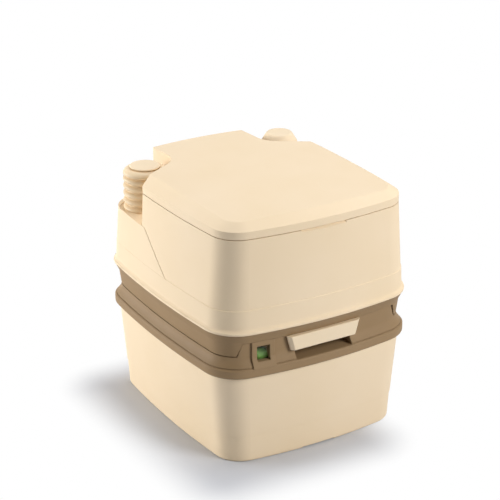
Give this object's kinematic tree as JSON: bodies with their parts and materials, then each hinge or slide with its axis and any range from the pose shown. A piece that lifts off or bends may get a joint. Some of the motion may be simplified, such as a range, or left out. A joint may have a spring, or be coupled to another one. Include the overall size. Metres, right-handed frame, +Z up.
{
  "type": "portable chemical toilet",
  "caption": "Cream and brown portable chemical toilet: flush section with seat, lid and bellows pump latched on a waste tank with slide valve and pour-out spout",
  "frame": {"origin": "middle of the footprint on the floor plane", "axes": "+Y from the front with the valve handle to the back, +Z up, +X to the right seen from the front"},
  "size_m": [0.383, 0.427, 0.4134],
  "materials": {
    "cream_plastic": "satin, fine moulded grain",
    "brown_plastic": "satin, fine moulded grain",
    "soft_cream_plastic": "soft satin",
    "dark_plastic": "satin",
    "green_plastic": "gloss",
    "float_plastic": "satin",
    "tube_plastic": "satin",
    "clear_pane": "clear",
    "black_rubber": "matte",
    "steel": "brushed"
  },
  "bodies": {
    "waste_tank": {"waste_tank_tub": "cream_plastic", "waste_tank_top": "brown_plastic", "valve_seal": "black_rubber", "valve_guide": "dark_plastic", "valve_screws": "steel", "indicator_pane": "clear_pane", "indicator_axle": "steel", "spout_collar": "brown_plastic", "vent_diaphragm": "black_rubber", "latch_pin": "steel"},
    "valve": {"valve_blade": "dark_plastic", "valve_handle": "cream_plastic"},
    "level_indicator": {"indicator_drum": "green_plastic", "float_arm": "dark_plastic", "float": "float_plastic"},
    "spout": {"spout_elbow": "brown_plastic"},
    "spout_cap": {"spout_cap": "cream_plastic", "spout_cap_seal": "black_rubber"},
    "vent_button": {"vent_button": "cream_plastic"},
    "latch": {"latch_lever": "cream_plastic"},
    "flush_section": {"flush_base": "brown_plastic", "flush_tank_shell": "cream_plastic", "bowl": "cream_plastic", "outlet_pipe": "cream_plastic", "pump_bellows": "soft_cream_plastic", "pump_collar": "cream_plastic", "pump_body": "dark_plastic", "intake_tube": "tube_plastic", "pump_flap": "black_rubber", "flush_nozzle": "tube_plastic", "flush_tube": "tube_plastic", "hinge_pins": "steel"},
    "pump_button": {"pump_button": "cream_plastic"},
    "fill_cap": {"fill_cap": "cream_plastic", "fill_cap_seal": "black_rubber"},
    "seat": {"seat": "cream_plastic", "seat_bumpers": "black_rubber"},
    "lid": {"lid": "cream_plastic"}
  },
  "joints": [
    {"name": "flush_section_lift", "type": "slide", "parent": "waste_tank", "child": "flush_section", "axis": [0, 0, 1], "range_m": [0, 0.25]},
    {"name": "seat_hinge", "type": "hinge", "parent": "flush_section", "child": "seat", "pos_m": [0, 0.1875, 0.391], "axis": [-1, 0, 0], "range_deg": [0, 95]},
    {"name": "lid_hinge", "type": "hinge", "parent": "seat", "child": "lid", "pos_m": [0, 0.1875, 0.391], "axis": [-1, 0, 0], "range_deg": [0, 95]},
    {"name": "pump_press", "type": "slide", "parent": "flush_section", "child": "pump_button", "axis": [0, 0, -1], "range_m": [0, 0.03], "stiffness_N_per_m": 600, "deforming": ["pump_bellows"]},
    {"name": "fill_cap_lift", "type": "slide", "parent": "flush_section", "child": "fill_cap", "axis": [0, 0, 1], "range_m": [0, 0.06]},
    {"name": "valve_slide", "type": "slide", "parent": "waste_tank", "child": "valve", "axis": [0, -1, 0], "range_m": [0, 0.118]},
    {"name": "level_turn", "type": "hinge", "parent": "waste_tank", "child": "level_indicator", "pos_m": [-0.10513, -0.17993, 0.1825], "axis": [0.9922, -0.1244, 0], "range_deg": [0, 42]},
    {"name": "latch_turn", "type": "hinge", "parent": "waste_tank", "child": "latch", "pos_m": [0, 0.2015, 0.181], "axis": [1, 0, 0], "range_deg": [0, 10]},
    {"name": "spout_swivel", "type": "hinge", "parent": "waste_tank", "child": "spout", "pos_m": [0.064, 0.17, 0.125], "axis": [0, 0, 1], "range_deg": [0, 90]},
    {"name": "spout_cap_turn", "type": "hinge", "parent": "spout", "child": "spout_cap", "pos_m": [0.112, 0.17, 0.155], "axis": [1, 0, 0], "range_deg": [0, 90]},
    {"name": "vent_press", "type": "slide", "parent": "waste_tank", "child": "vent_button", "axis": [0, -1, 0], "range_m": [0, 0.004], "stiffness_N_per_m": 500}
  ]
}
